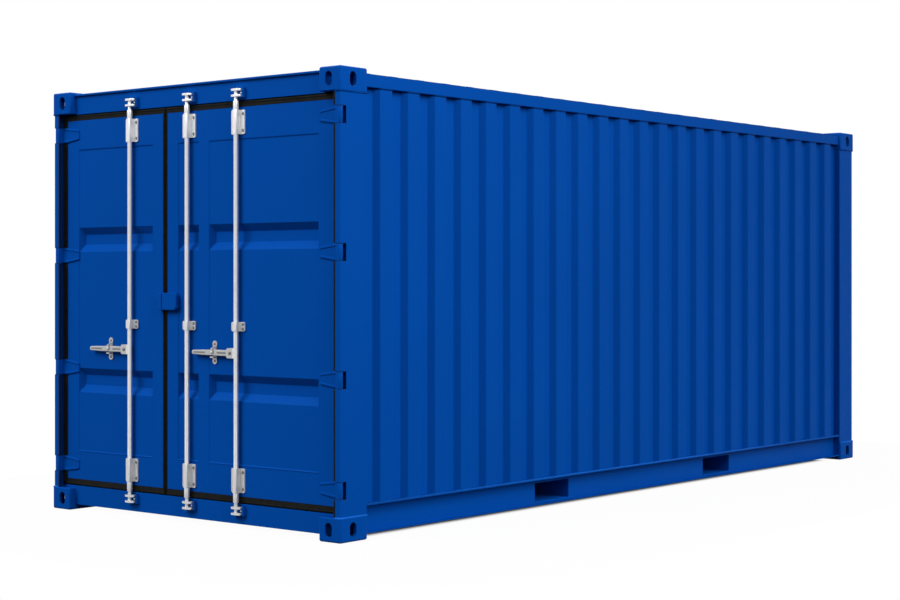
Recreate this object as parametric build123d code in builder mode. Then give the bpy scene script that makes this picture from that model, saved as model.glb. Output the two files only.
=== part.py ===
from build123d import *
import os

os.makedirs("parts", exist_ok=True)

# A twenty foot freight container, in millimetres.
# The origin is under its middle, on the ground. +X runs along it from the doors to the closed end,
# and the doors' left side, seen from outside, is at +Y.

# Outer size, over the corner castings
length = 6058
width = 2438
height = 2591

# Corner castings: a hollow block with a slot for a twistlock and an oval opening in each outer face
casting_length = 222
casting_width = 162
casting_height = 134
casting_outer_wall = 20
casting_inner_wall = 12
casting_slot_wall = 28
casting_round = 12
casting_edge_round = 5
slot_length = 124.5
slot_width = 63.5
slot_spacing_x = 5853
slot_spacing_y = 2259
opening_height = 82
opening_width = 52

# Corner posts stand between the castings, a little behind their faces
post_inset = 8
post_wall = 6
post_foot = casting_height
post_head = height - casting_height
door_post_lip = 47
door_post_tube = 36
door_post_jamb = 62
door_post_lip_thickness = 8
jamb_front = 110
rear_post_width = 78

# Door header and sill fill the space between the castings
beam_face = 50
beam_rear_face = 110
beam_wall = 5
header_top = 2571
header_bottom = 2453
header_stop = 2425
header_lip_front = 36
header_lip_bottom = 2566
header_lip_top = 2578
sill_bottom = 32
sill_top = 148
threshold_top = 195

# Rails and corrugated walls between the castings
rail_inset = 18
rail_width = 60
rail_wall = 5
top_rail_bottom = 2492
top_rail_top = 2563
bottom_rail_inset = 10
bottom_rail_width = 56
bottom_rail_bottom = 31
bottom_rail_top = 190
bottom_rail_wall = 6
wall_inset = 20
sheet = 2
rib_count = 23
rib_face = 100
rib_slope = 30
rib_gap = 79
rib_depth = 36
rear_rib_count = 9
rear_rib_face = 100
rear_rib_slope = 30
rear_rib_gap = 88
rear_rib_depth = 40
bend_radius = 9

# Roof sheet with ribs pressed up across it
roof_sheet_bottom = 2563
roof_rib_count = 24
roof_rib_width = 110
roof_rib_height = 18
roof_rib_half_length = 1120
roof_rib_taper = 45

# Floor, its cross members and the two fork pockets
floor_thickness = 28
floor_bottom = threshold_top - floor_thickness
member_height = 122
member_flange = 45
member_wall = 5
member_count = 17
pocket_from_middle = 1000
pocket_width = 360
pocket_bottom = 45
pocket_top = 161
pocket_plate = 6
pocket_strap_length = 300

# Doors: a flat frame with sheet panels, behind the castings' outer face
leaf_front = 52
leaf_back = 102
leaf_bottom = 190
leaf_top = 2415
leaf_side_gap = 84
panel_bottom = 366
panel_top = 2235
panel_front = 54
panel_sheet = 3
trough_depth = 34
trough_bottoms = (731, 1600)
trough_lower_slope = 46
trough_flat = 61
trough_upper_slope = 43
trough_end_slope = 24
seam_left = 961
seam_right = 1002
left_fields = ((191, 870),)
right_fields = ((1094, 1270), (1357, 2227))
gasket_front = 53
gasket_back = 80
gasket_side = 42
gasket_bottom = 153
gasket_top = 2448
gasket_seam_left = 978
gasket_seam_right = 984

# Hinges: a tapered blade on the leaf and a knuckle in a notch of the post
hinge_heights = (283, 883, 1579, 2327)
pivot = 22
knuckle_radius = 14
knuckle_height = 92
knuckle_reach = 46
blade_thickness = 9
blade_end = 196
blade_end_height = 60
blade_straight = 84
blade_end_round = 7
blade_chamfer = 4
blade_panel = ((60, 34), (84, 34), (206, 18))
blade_panel_depth = 4
blade_panel_taper = 40
notch_clearance = 3
notch_depth = 56
notch_inner_depth = 61
lug_thickness = 12
pin_radius = 7
pin_bore_radius = 7.4

# Lock rods, their brackets, cams and keepers
rod_places = {"left": 691, "middle": 1195, "right": 1604}
rod_depth = 28
rod_radius = 13.6
collar_radius = 16
cam_neck_radius = 11
cam_plate = 12
cam_spacing = 34
cam_width = 74
cam_depth = 40
cam_shift = 5
cam_heights = (110, 2495)
collar_bottom_reach = 156
collar_top_reach = 2449
bracket_half_width = 53
bracket_corner = 8
bracket_rim = 4
bracket_rim_front = 43
bracket_height = 139
bracket_heights = (281.5, 2328.5)
guide_height = 53
guide_place = 1160.5
strap_thickness = 3
strap_round = 7
flange_thickness = 5
rod_clearance = 0.4
keeper_wall = 4
keeper_left = 38
keeper_right = 47
keeper_reach = 48
keeper_half_height = 29
jaw_width = 11
jaw_front = 30
tongue_front = 36
tongue_half_height = 5
tongue_start = 26

# Handles
handle_height = 1008
hub_reach = 66
hub_half_height = 29
hub_depth = 28
hub_slot = 15
hub_slot_start = 23
hub_corner = 8
handle_pivot = 38
handle_pin_radius = 6
handle_bore_radius = 6.3
handle_thickness = 14
handle_tip = 362
handle_edge = 3
retainer_place = 197
retainer_width = 37
retainer_height = 136
retainer_thickness = 5
retainer_waist = 32
shelf_thickness = 8
shelf_gap = 5
shelf_front = 24
shelf_half_width = 14

# Box-shaped plate over the seam, in two halves
seam_plate_left = 944
seam_plate_right = 1106
seam_plate_front = 21
seam_plate_low = 1249
seam_plate_high = 1350
seam_plate_gap_left = 978.4
seam_plate_gap_right = 983.6
seam_plate_corner = 14
seam_plate_chamfer = 4


def across(from_left):
    """Y of a place measured from the left side, seen from outside the doors."""
    return width / 2 - from_left


def behind(depth):
    """X of a place measured inwards from the castings' outer face at the doors."""
    return depth - length / 2


def rectangle_between(low, high, mode=Mode.ADD):
    """A rectangle in the sketch between two corners."""
    with Locations(((low[0] + high[0]) / 2, (low[1] + high[1]) / 2)):
        Rectangle(abs(high[0] - low[0]), abs(high[1] - low[1]), mode=mode)


def plan_rectangle(from_left, depth, mode=Mode.ADD):
    """A rectangle in a plan sketch, between two places from the left side and two depths."""
    rectangle_between((behind(depth[0]), across(from_left[1])), (behind(depth[1]), across(from_left[0])), mode)


def block(from_left, depth, heights, mode=Mode.ADD):
    """A block at the door end, between two places from the left, two depths and two heights."""
    middle = (behind(sum(depth) / 2), across(sum(from_left) / 2), sum(heights) / 2)
    with Locations(middle):
        Box(depth[1] - depth[0], from_left[1] - from_left[0], heights[1] - heights[0], mode=mode)


def save(piece, label):
    piece.part.label = label
    export_step(piece.part, f"parts/{label}.step")


def save_mirrored(piece, label):
    """The same piece on the other long side."""
    with BuildPart() as other:
        mirror(piece.part, about=Plane.XZ)
    save(other, label)


# Corner castings

def corner_casting(low, slot_is_low):
    """The casting at the doors' left corner, with its slot in its lower or its upper face."""
    high = low + casting_height
    middle = low + casting_height / 2
    slot_x = -slot_spacing_x / 2
    slot_y = slot_spacing_y / 2
    cavity_low = low + (casting_slot_wall if slot_is_low else casting_inner_wall)
    cavity_high = high - (casting_inner_wall if slot_is_low else casting_slot_wall)
    with BuildPart() as casting:
        block((0, casting_width), (0, casting_length), (low, high))
        outer = casting.edges().filter_by(Axis.Z).sort_by(Axis.X)[:2]
        fillet(outer + casting.edges().filter_by(Axis.Z).sort_by(Axis.Y)[-1:], radius=casting_round)
        face = casting.faces().sort_by(Axis.Z)[0 if slot_is_low else -1]
        fillet(face.edges(), radius=casting_round)
        fillet(casting.faces().sort_by(Axis.Z)[-1 if slot_is_low else 0].edges(), radius=casting_edge_round)
        block((casting_outer_wall, casting_width - casting_inner_wall),
              (casting_outer_wall, casting_length - casting_inner_wall),
              (cavity_low, cavity_high), Mode.SUBTRACT)
        with BuildSketch(Plane.XY.offset(low if slot_is_low else high)):
            with Locations((slot_x, slot_y)):
                SlotOverall(slot_length, slot_width)
        extrude(amount=casting_slot_wall if slot_is_low else -casting_slot_wall, mode=Mode.SUBTRACT)
        with BuildSketch(Plane.YZ.offset(behind(0))):
            with Locations((slot_y, middle)):
                SlotOverall(opening_height, opening_width, rotation=90)
        extrude(amount=casting_outer_wall, mode=Mode.SUBTRACT)
        with BuildSketch(Plane.XZ.offset(-width / 2)):
            with Locations((slot_x, middle)):
                SlotOverall(opening_height, opening_width, rotation=90)
        extrude(amount=casting_outer_wall, mode=Mode.SUBTRACT)
    return casting


def four_corners(casting):
    with BuildPart() as castings:
        add(casting.part)
        mirror(about=Plane.XZ)
        mirror(about=Plane.YZ)
    return castings


save(four_corners(corner_casting(0, True)), "corner_castings_bottom")
save(four_corners(corner_casting(height - casting_height, False)), "corner_castings_top")


# Door posts: a tube with a lip in front and a wider jamb behind, notched at each hinge

with BuildPart() as door_post:
    with BuildSketch(Plane.XY.offset(post_foot)):
        plan_rectangle((post_inset, door_post_tube), (post_inset, jamb_front))
        plan_rectangle((post_inset, door_post_lip), (post_inset, post_inset + door_post_lip_thickness))
        plan_rectangle((post_inset, door_post_jamb), (jamb_front, casting_length))
        plan_rectangle((post_inset + post_wall, door_post_tube - post_wall),
                       (post_inset + post_wall, jamb_front), Mode.SUBTRACT)
        plan_rectangle((post_inset + post_wall, door_post_jamb - post_wall),
                       (jamb_front + post_wall, casting_length - post_wall), Mode.SUBTRACT)
    extrude(amount=post_head - post_foot)
    for hinge_height in hinge_heights:
        notch = (hinge_height - knuckle_height / 2 - notch_clearance,
                 hinge_height + knuckle_height / 2 + notch_clearance)
        for lug in ((notch[0] - lug_thickness, notch[0]), (notch[1], notch[1] + lug_thickness)):
            block((post_inset + post_wall, door_post_tube - post_wall),
                  (post_inset + post_wall, notch_depth), lug)
        block((0, door_post_lip), (0, notch_depth), notch, Mode.SUBTRACT)
        block((pivot, door_post_lip), (0, notch_inner_depth), notch, Mode.SUBTRACT)
        with BuildSketch(Plane.XY.offset(notch[0] - lug_thickness)):
            with Locations((behind(pivot), across(pivot))):
                Circle(pin_radius)
        extrude(amount=notch[1] - notch[0] + 2 * lug_thickness, mode=Mode.SUBTRACT)
save(door_post, "door_post_left")
save_mirrored(door_post, "door_post_right")

with BuildPart() as hinge_pins:
    for hinge_height in hinge_heights:
        with BuildSketch(Plane.XY.offset(hinge_height - knuckle_height / 2 - notch_clearance - lug_thickness)):
            with Locations((behind(pivot), across(pivot))):
                Circle(pin_radius)
        extrude(amount=knuckle_height + 2 * notch_clearance + 2 * lug_thickness)
    mirror(about=Plane.XZ)
save(hinge_pins, "hinge_pins")


# Rear posts

with BuildPart() as rear_post:
    with BuildSketch(Plane.XY.offset(post_foot)):
        rectangle_between((length / 2 - casting_length, across(rear_post_width)),
                          (length / 2 - post_inset, across(post_inset)))
        rectangle_between((length / 2 - casting_length + post_wall, across(rear_post_width - post_wall)),
                          (length / 2 - post_inset - post_wall, across(post_inset + post_wall)), Mode.SUBTRACT)
    extrude(amount=post_head - post_foot)
save(rear_post, "rear_post_left")
save_mirrored(rear_post, "rear_post_right")


# Door header and sill: closed sections between the castings, with a window for each keeper

between_castings = width / 2 - casting_width
between_posts = width / 2 - door_post_jamb


def keeper_outline(rod_place, wall):
    """Sides of a keeper's pocket from the left, its inner face grown by wall."""
    return rod_place - keeper_left - wall, rod_place + keeper_right + wall


with BuildPart() as door_header:
    with BuildSketch(Plane.XZ):
        rectangle_between((behind(beam_face), header_bottom), (behind(casting_length), header_top))
        rectangle_between((behind(beam_face + beam_wall), header_bottom + beam_wall),
                          (behind(casting_length - beam_wall), header_top - beam_wall), Mode.SUBTRACT)
        rectangle_between((behind(header_lip_front), header_lip_bottom), (behind(beam_face + beam_wall), header_lip_top))
    extrude(amount=between_castings, both=True)
    with BuildSketch(Plane.XZ):
        rectangle_between((behind(beam_rear_face), header_stop), (behind(casting_length), header_bottom))
    extrude(amount=between_posts, both=True)
    for rod_place in rod_places.values():
        block(keeper_outline(rod_place, keeper_wall), (beam_face, beam_face + beam_wall),
              (cam_heights[1] - keeper_half_height - keeper_wall, cam_heights[1] + keeper_half_height + keeper_wall),
              Mode.SUBTRACT)
save(door_header, "door_header")

with BuildPart() as door_sill:
    with BuildSketch(Plane.XZ):
        rectangle_between((behind(beam_face), sill_bottom), (behind(casting_length), casting_height))
    extrude(amount=between_castings, both=True)
    with BuildSketch(Plane.XZ):
        rectangle_between((behind(beam_face), casting_height), (behind(casting_length), sill_top))
        rectangle_between((behind(beam_rear_face), sill_top), (behind(casting_length), threshold_top))
    extrude(amount=between_posts, both=True)
    with BuildSketch(Plane.XZ):
        rectangle_between((behind(beam_face + beam_wall), sill_bottom + beam_wall),
                          (behind(casting_length - beam_wall), sill_top - beam_wall))
        rectangle_between((behind(beam_rear_face + beam_wall), sill_top - beam_wall),
                          (behind(casting_length - beam_wall), threshold_top - beam_wall))
    extrude(amount=between_castings - beam_wall, both=True, mode=Mode.SUBTRACT)
    for rod_place in rod_places.values():
        block(keeper_outline(rod_place, keeper_wall), (beam_face, beam_face + beam_wall),
              (cam_heights[0] - keeper_half_height - keeper_wall, cam_heights[0] + keeper_half_height + keeper_wall),
              Mode.SUBTRACT)
save(door_sill, "door_sill")


# Keepers: a pocket let into the beam, with a jaw beside the cam and a tongue between its plates

with BuildPart() as cam_keepers:
    for rod_place in rod_places.values():
        for cam_height in cam_heights:
            pocket = (cam_height - keeper_half_height, cam_height + keeper_half_height)
            block(keeper_outline(rod_place, keeper_wall), (beam_face, rod_depth + keeper_reach + keeper_wall),
                  (pocket[0] - keeper_wall, pocket[1] + keeper_wall))
            block(keeper_outline(rod_place, 0), (beam_face, rod_depth + keeper_reach), pocket, Mode.SUBTRACT)
            block((rod_place + keeper_right, rod_place + keeper_right + jaw_width), (jaw_front, beam_face), pocket)
            block((rod_place + tongue_start, rod_place + keeper_right), (tongue_front, rod_depth + keeper_reach),
                  (cam_height - tongue_half_height, cam_height + tongue_half_height))
save(cam_keepers, "cam_keepers")


# Side rails

between_ends = length / 2 - casting_length
inside_rear_posts = width / 2 - rear_post_width

with BuildPart() as top_side_rail:
    with BuildSketch(Plane.YZ):
        rectangle_between((across(rail_inset + rail_width), top_rail_bottom), (across(rail_inset), top_rail_top))
        rectangle_between((across(rail_inset + rail_width - rail_wall), top_rail_bottom + rail_wall),
                          (across(rail_inset + rail_wall), top_rail_top - rail_wall), Mode.SUBTRACT)
    extrude(amount=between_ends, both=True)
save(top_side_rail, "top_side_rail_left")
save_mirrored(top_side_rail, "top_side_rail_right")

with BuildPart() as bottom_side_rail:
    with BuildSketch(Plane.YZ):
        rectangle_between((across(bottom_rail_inset + bottom_rail_width), bottom_rail_bottom),
                          (across(bottom_rail_inset), bottom_rail_top))
        rectangle_between((across(bottom_rail_inset + bottom_rail_width - bottom_rail_wall),
                           bottom_rail_bottom + bottom_rail_wall),
                          (across(bottom_rail_inset), bottom_rail_top - bottom_rail_wall), Mode.SUBTRACT)
    extrude(amount=between_ends, both=True)
    with BuildSketch(Plane.XZ.offset(-width / 2)):
        with Locations((-pocket_from_middle, (pocket_bottom + pocket_top) / 2),
                       (pocket_from_middle, (pocket_bottom + pocket_top) / 2)):
            Rectangle(pocket_width, pocket_top - pocket_bottom)
    extrude(amount=bottom_rail_inset + bottom_rail_width, mode=Mode.SUBTRACT)
save(bottom_side_rail, "bottom_side_rail_left")
save_mirrored(bottom_side_rail, "bottom_side_rail_right")


# Corrugated walls

def corrugation(half_span, count, face, slope, gap, depth):
    """Points along a sheet with outward ribs: distance along it and distance in from the ribs' faces."""
    pitch = face + 2 * slope + gap
    first = -((count - 1) * pitch + face) / 2
    points = [(-half_span, depth)]
    for rib in range(count):
        start = first + rib * pitch
        points += [(start - slope, depth), (start, 0), (start + face, 0), (start + face + slope, depth)]
    points.append((half_span, depth))
    return points


with BuildPart() as side_wall:
    line = corrugation(between_ends, rib_count, rib_face, rib_slope, rib_gap, rib_depth)
    outer_line = [(along, across(wall_inset + inwards)) for along, inwards in line]
    inner_line = [(along, across(wall_inset + inwards + sheet)) for along, inwards in line]
    with BuildSketch(Plane.XY.offset(bottom_rail_top)):
        with BuildLine():
            FilletPolyline(*outer_line, radius=bend_radius)
            FilletPolyline(*inner_line, radius=bend_radius)
            Line(outer_line[0], inner_line[0])
            Line(outer_line[-1], inner_line[-1])
        make_face()
    extrude(amount=top_rail_bottom - bottom_rail_top)
save(side_wall, "side_wall_left")
save_mirrored(side_wall, "side_wall_right")

with BuildPart() as rear_wall:
    half_span = inside_rear_posts
    line = corrugation(half_span, rear_rib_count, rear_rib_face, rear_rib_slope, rear_rib_gap, rear_rib_depth)
    outer_line = [(length / 2 - wall_inset - inwards, along) for along, inwards in line]
    inner_line = [(length / 2 - wall_inset - inwards - sheet, along) for along, inwards in line]
    with BuildSketch(Plane.XY.offset(post_foot)):
        with BuildLine():
            FilletPolyline(*outer_line, radius=bend_radius)
            FilletPolyline(*inner_line, radius=bend_radius)
            Line(outer_line[0], inner_line[0])
            Line(outer_line[-1], inner_line[-1])
        make_face()
    extrude(amount=post_head - post_foot)
save(rear_wall, "rear_wall")


# Rear header and sill

rear_wall_inside = length / 2 - wall_inset - rear_rib_depth - sheet
rear_sill_front = rear_wall_inside - rail_wall - beam_wall

with BuildPart() as rear_header:
    with BuildSketch(Plane.XZ):
        rectangle_between((between_ends, post_head), (length / 2 - rail_inset, top_rail_top))
        rectangle_between((between_ends + rail_wall, post_head + rail_wall),
                          (length / 2 - rail_inset - rail_wall, top_rail_top - rail_wall), Mode.SUBTRACT)
    extrude(amount=between_castings, both=True)
save(rear_header, "rear_header")

with BuildPart() as rear_sill:
    with BuildSketch(Plane.XZ):
        rectangle_between((rear_sill_front, sill_bottom), (length / 2 - rail_inset, post_foot))
        rectangle_between((rear_sill_front, post_foot), (rear_wall_inside, floor_bottom))
        rectangle_between((rear_sill_front + rail_wall, sill_bottom + rail_wall),
                          (length / 2 - rail_inset - rail_wall, post_foot - rail_wall), Mode.SUBTRACT)
    extrude(amount=between_castings, both=True)
save(rear_sill, "rear_sill")


# Roof sheet

rib_pitch = 2 * between_ends / roof_rib_count

with BuildPart() as roof_panel:
    with BuildSketch(Plane.XY.offset(roof_sheet_bottom)):
        Rectangle(2 * between_ends, width - 2 * rail_inset)
    extrude(amount=sheet)
    for lift, shrink, mode in ((sheet, 0, Mode.ADD), (0, sheet, Mode.SUBTRACT)):
        with BuildSketch(Plane.XY.offset(roof_sheet_bottom + lift)):
            with GridLocations(rib_pitch, 1, roof_rib_count, 1):
                Rectangle(roof_rib_width - 2 * shrink, 2 * (roof_rib_half_length - shrink))
        extrude(amount=roof_rib_height, taper=roof_rib_taper, mode=mode)
save(roof_panel, "roof_panel")


# Floor, cross members and fork pockets

inside_rails = width / 2 - bottom_rail_inset - bottom_rail_width

with BuildPart() as floor_boards:
    with BuildSketch(Plane.XY.offset(floor_bottom)):
        Rectangle(2 * between_ends, 2 * inside_rails)
        rectangle_between((between_ends, -inside_rear_posts), (rear_wall_inside, inside_rear_posts))
    extrude(amount=floor_thickness)
save(floor_boards, "floor")

pocket_edge_near = pocket_from_middle - pocket_width / 2
pocket_edge_far = pocket_from_middle + pocket_width / 2


def cross_member(place, opens):
    """A channel across the container, its web at place and its flanges towards +X or -X."""
    with BuildSketch(Plane.XZ) as section:
        rectangle_between((place, floor_bottom - member_height), (place + opens * member_flange, floor_bottom))
        rectangle_between((place + opens * member_wall, floor_bottom - member_height + member_wall),
                          (place + opens * member_flange, floor_bottom - member_wall), Mode.SUBTRACT)
    extrude(section.sketch, amount=inside_rails, both=True)


with BuildPart() as floor_cross_members:
    member_pitch = 2 * between_ends / (member_count + 1)
    for number in range(member_count):
        place = -between_ends + (number + 1) * member_pitch
        if abs(abs(place) - pocket_from_middle) > pocket_width / 2 + 2 * member_flange:
            cross_member(place, 1)
    for pocket_side in (-1, 1):
        cross_member(pocket_side * pocket_edge_near, -pocket_side)
        cross_member(pocket_side * pocket_edge_far, pocket_side)
save(floor_cross_members, "floor_cross_members")

pocket_places = ((-pocket_from_middle, 0), (pocket_from_middle, 0))

with BuildPart() as fork_pocket_tops:
    with BuildSketch(Plane.XY.offset(pocket_top)):
        with Locations(*pocket_places):
            Rectangle(pocket_width, 2 * inside_rails)
    extrude(amount=floor_bottom - pocket_top)
save(fork_pocket_tops, "fork_pocket_tops")

with BuildPart() as fork_pocket_straps:
    with BuildSketch(Plane.XY.offset(pocket_bottom - pocket_plate)):
        with GridLocations(2 * pocket_from_middle, 2 * inside_rails - pocket_strap_length, 2, 2):
            Rectangle(pocket_width + 2 * member_flange, pocket_strap_length)
    extrude(amount=pocket_plate)
save(fork_pocket_straps, "fork_pocket_straps")


# Door leaves

def trough(field, low, grown, mode=Mode.ADD):
    """A pressed trough across a field: a pocket with four slanted sides, its walls grown by a thickness."""
    levels = (low, low + trough_lower_slope, low + trough_lower_slope + trough_flat,
              low + trough_lower_slope + trough_flat + trough_upper_slope)
    with BuildSketch(Plane.YZ.offset(behind(panel_front))) as mouth:
        rectangle_between((across(field[1] + grown), levels[0] - grown), (across(field[0] - grown), levels[3] + grown))
    with BuildSketch(Plane.YZ.offset(behind(panel_front + trough_depth + grown))) as bottom:
        rectangle_between((across(field[1] - trough_end_slope + grown), levels[1] - grown),
                          (across(field[0] + trough_end_slope - grown), levels[2] + grown))
    loft([mouth.sketch, bottom.sketch], mode=mode)


def door_leaf(edges, fields):
    """A flat frame between two places from the left, with a sheet and two pressed troughs in each field."""
    with BuildPart() as leaf:
        block(edges, (leaf_front, leaf_back), (leaf_bottom, leaf_top))
        for field in fields:
            block(field, (leaf_front, leaf_back), (panel_bottom, panel_top), Mode.SUBTRACT)
        for field in fields:
            block(field, (panel_front, panel_front + panel_sheet), (panel_bottom, panel_top))
            for low in trough_bottoms:
                trough(field, low, panel_sheet)
                trough(field, low, 0, Mode.SUBTRACT)
    return leaf


def door_gasket(edges, lips):
    """A rubber ring round a leaf."""
    with BuildPart() as gasket:
        block(lips, (gasket_front, gasket_back), (gasket_bottom, gasket_top))
        block(edges, (gasket_front, gasket_back), (leaf_bottom, leaf_top), Mode.SUBTRACT)
    return gasket


left_edges = (leaf_side_gap, seam_left)
right_edges = (seam_right, width - leaf_side_gap)
save(door_leaf(left_edges, left_fields), "left_door_leaf")
save(door_leaf(right_edges, right_fields), "right_door_leaf")
save(door_gasket(left_edges, (gasket_side, gasket_seam_left)), "left_door_gasket")
save(door_gasket(right_edges, (gasket_seam_right, width - gasket_side)), "right_door_gasket")


# Hinges

with BuildPart() as hinge:
    with BuildSketch(Plane.XY.offset(-knuckle_height / 2)) as plan:
        with Locations((behind(pivot), across(pivot))):
            Circle(knuckle_radius)
        plan_rectangle((pivot, knuckle_reach), (pivot - knuckle_radius, pivot + knuckle_radius))
        plan_rectangle((knuckle_reach - blade_thickness, knuckle_reach), (pivot - knuckle_radius, leaf_front))
        plan_rectangle((knuckle_reach - blade_thickness, blade_end), (leaf_front - blade_thickness, leaf_front))
        outer_corner = plan.vertices().group_by(Axis.X)[0].sort_by(Axis.Y)[0]
        fillet(outer_corner, radius=knuckle_radius / 2)
        with Locations((behind(pivot), across(pivot))):
            Circle(pin_bore_radius, mode=Mode.SUBTRACT)
    extrude(amount=knuckle_height)
    with BuildSketch(Plane.YZ.offset(behind(0))) as blade_outline:
        with BuildLine():
            Polyline((across(0), -knuckle_height / 2), (across(blade_straight), -knuckle_height / 2),
                     (across(blade_end), -blade_end_height / 2), (across(blade_end), blade_end_height / 2),
                     (across(blade_straight), knuckle_height / 2), (across(0), knuckle_height / 2), close=True)
        make_face()
        fillet(blade_outline.vertices().group_by(Axis.X)[0], radius=blade_end_round)
    extrude(amount=leaf_back, mode=Mode.INTERSECT)
    blade_front = hinge.faces().filter_by(Axis.X).filter_by(
        lambda face: abs(face.center().X - behind(leaf_front - blade_thickness)) < blade_thickness / 2)
    blade_rim = blade_front.edges().filter_by(lambda edge: edge.center().Y < across(knuckle_reach) - 1)
    chamfer(blade_rim, length=blade_chamfer)
    upper = [(across(place), half) for place, half in blade_panel]
    lower = [(across(place), -half) for place, half in reversed(blade_panel)]
    with BuildSketch(Plane.YZ.offset(behind(leaf_front - blade_thickness))):
        with BuildLine():
            Polyline(*upper, *lower, close=True)
        make_face()
    extrude(amount=blade_panel_depth, taper=blade_panel_taper, mode=Mode.SUBTRACT)

with BuildPart() as door_hinges:
    with Locations(*[(0, 0, hinge_height) for hinge_height in hinge_heights]):
        add(hinge.part)
save(door_hinges, "left_door_hinges")
save_mirrored(door_hinges, "right_door_hinges")


# Rod brackets: a strap bent over the rod, with a flange each side on the leaf

def rod_bracket(rod_place, middle, bracket_tall):
    bore = rod_radius + rod_clearance
    outside = bore + strap_thickness
    flange_front = leaf_front - flange_thickness
    with BuildSketch(Plane.XY.offset(middle - bracket_tall / 2)) as outline:
        plan_rectangle((rod_place - bracket_half_width, rod_place + bracket_half_width), (flange_front, leaf_front))
        plan_rectangle((rod_place - outside, rod_place + outside), (rod_depth - outside, leaf_front))
        fillet(outline.vertices().group_by(Axis.X)[0], radius=strap_round)
        plan_rectangle((rod_place - bore, rod_place + bore), (rod_depth, leaf_front), Mode.SUBTRACT)
        with Locations((behind(rod_depth), across(rod_place))):
            Circle(bore, mode=Mode.SUBTRACT)
        for rim_side in (-1, 1):
            rim = (rod_place + rim_side * (bracket_half_width - bracket_rim), rod_place + rim_side * bracket_half_width)
            plan_rectangle(sorted(rim), (bracket_rim_front, flange_front))
    strap = extrude(outline.sketch, amount=bracket_tall)
    corners = strap.edges().filter_by(Axis.X).group_by(Axis.Y)
    fillet(corners[0] + corners[-1], radius=bracket_corner)


def rod_brackets(places):
    with BuildPart() as brackets:
        for rod_place in places:
            for bracket_place in bracket_heights:
                rod_bracket(rod_place, bracket_place, bracket_height)
            rod_bracket(rod_place, guide_place, guide_height)
    return brackets


save(rod_brackets([rod_places["left"]]), "left_rod_brackets")
save(rod_brackets([rod_places["middle"], rod_places["right"]]), "right_rod_brackets")


# Lock rods: a tube with a thicker collar past each long bracket, and a welded handle hub on the outer two

def lock_rod(rod_place, has_handle):
    cam_inner = (cam_heights[0] + cam_spacing / 2 + cam_plate / 2, cam_heights[1] - cam_spacing / 2 - cam_plate / 2)
    collar_inner = (bracket_heights[0] - bracket_height / 2, bracket_heights[1] + bracket_height / 2)
    middle = (behind(rod_depth), across(rod_place))
    with BuildPart() as rod:
        with BuildSketch(Plane.XY.offset(cam_inner[0])):
            with Locations(middle):
                Circle(cam_neck_radius)
        extrude(amount=cam_inner[1] - cam_inner[0])
        with BuildSketch(Plane.XY.offset(collar_bottom_reach)):
            with Locations(middle):
                Circle(rod_radius)
        extrude(amount=collar_top_reach - collar_bottom_reach)
        for low, high in ((collar_bottom_reach, collar_inner[0]), (collar_inner[1], collar_top_reach)):
            with BuildSketch(Plane.XY.offset(low)):
                with Locations(middle):
                    Circle(collar_radius)
            extrude(amount=high - low)
        if has_handle:
            hub_levels = (handle_height - hub_half_height, handle_height + hub_half_height)
            hub_depths = (rod_depth - hub_depth / 2, rod_depth + hub_depth / 2)
            slot_depths = (rod_depth - hub_slot / 2, rod_depth + hub_slot / 2)
            block((rod_place - hub_reach, rod_place), hub_depths, hub_levels)
            hub_end = rod.edges().filter_by(Axis.X).group_by(Axis.Y)[-1]
            chamfer(hub_end, length=hub_corner)
            block((rod_place - hub_reach, rod_place - hub_slot_start), slot_depths, hub_levels, Mode.SUBTRACT)
            with BuildSketch(Plane.YZ.offset(behind(hub_depths[0]))):
                with Locations((across(rod_place - handle_pivot), handle_height)):
                    Circle(handle_pin_radius)
            extrude(amount=hub_depth)
    return rod


def rod_cams(rod_place):
    """A forked cam at each end of a rod: two plates on a neck."""
    with BuildPart() as cams:
        for cam_height in cam_heights:
            for plate_middle in (cam_height - cam_spacing / 2, cam_height + cam_spacing / 2):
                with BuildSketch(Plane.XY.offset(plate_middle - cam_plate / 2)):
                    with Locations((behind(rod_depth), across(rod_place + cam_shift))):
                        RectangleRounded(cam_depth, cam_width, radius=cam_depth / 2 - 1)
                extrude(amount=cam_plate)
            with BuildSketch(Plane.XY.offset(cam_height - cam_spacing / 2)):
                with Locations((behind(rod_depth), across(rod_place))):
                    Circle(cam_neck_radius)
            extrude(amount=cam_spacing)
    return cams


for rod_name, rod_place in rod_places.items():
    save(lock_rod(rod_place, rod_name != "middle"), f"{rod_name}_lock_rod")
    save(rod_cams(rod_place), f"{rod_name}_rod_cams")


# Handles and their retainers

handle_outline = ((26, 11), (38, 16), (60, 18), (120, 18), (262, 16), (354, 13), (handle_tip, 9))


def handle(rod_place):
    """A flat bar from the hub towards the doors' left side, bored for the hub's pin."""
    upper = [(across(rod_place - reach), handle_height + half) for reach, half in handle_outline]
    lower = [(across(rod_place - reach), handle_height - half) for reach, half in reversed(handle_outline)]
    with BuildPart() as bar:
        with BuildSketch(Plane.YZ.offset(behind(rod_depth - handle_thickness / 2))):
            with BuildLine():
                Polyline(*upper, *lower, close=True)
            make_face()
            with Locations((across(rod_place - handle_pivot), handle_height)):
                Circle(handle_bore_radius, mode=Mode.SUBTRACT)
        extrude(amount=handle_thickness)
        for broad_face in bar.faces().group_by(Axis.X)[0] + bar.faces().group_by(Axis.X)[-1]:
            chamfer(broad_face.outer_wire().edges(), length=handle_edge)
    return bar


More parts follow.
